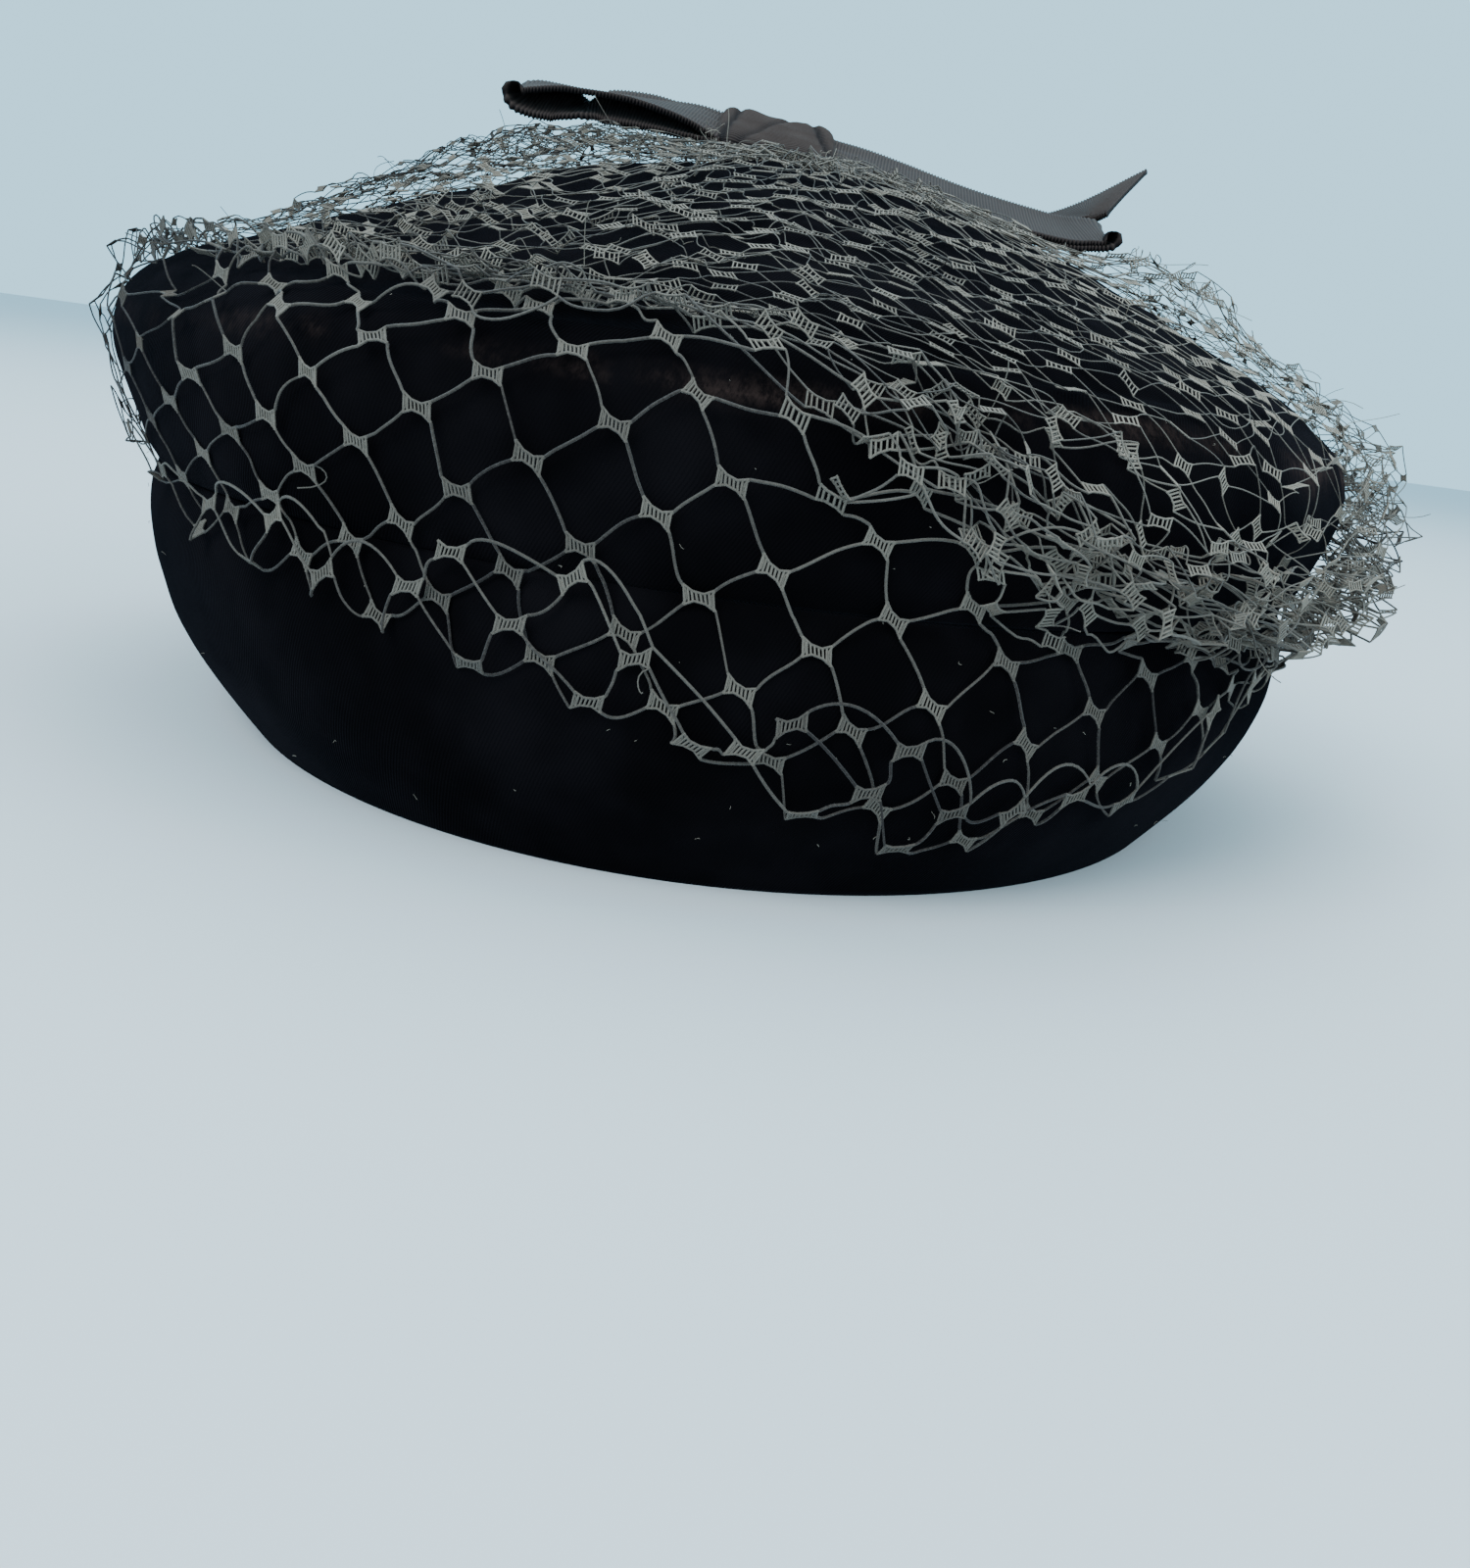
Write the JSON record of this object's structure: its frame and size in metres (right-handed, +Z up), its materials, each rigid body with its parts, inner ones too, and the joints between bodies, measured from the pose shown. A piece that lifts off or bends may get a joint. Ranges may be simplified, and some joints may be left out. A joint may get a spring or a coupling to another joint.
{
  "type": "veiled beret",
  "caption": "Soft velvet beret with a flared side band, a net veil gathered at the peak and draped over the crown, and a flat ribbon bow on top.",
  "frame": {"origin": "centre of the footprint, level with the rim that the hat rests on", "axes": "+Z up from the rim to the peak, -Y towards the front of the hat, +X towards the longer loop of the bow"},
  "size_m": [0.2256, 0.2398, 0.1153],
  "materials": {
    "velvet": "black velvet pile with a faint brown cast, worn and crushed along the widest edge",
    "net": "grey-green cotton hat netting, matt",
    "ribbon": "taupe grosgrain ribbon with fine cross ribs and a scalloped selvedge"
  },
  "bodies": {
    "root": {"crown": "velvet", "band": "velvet", "veil": "net", "bow_left_loop": "ribbon", "bow_right_loop": "ribbon", "bow_tail": "ribbon", "bow_knot": "ribbon"}
  },
  "joints": []
}
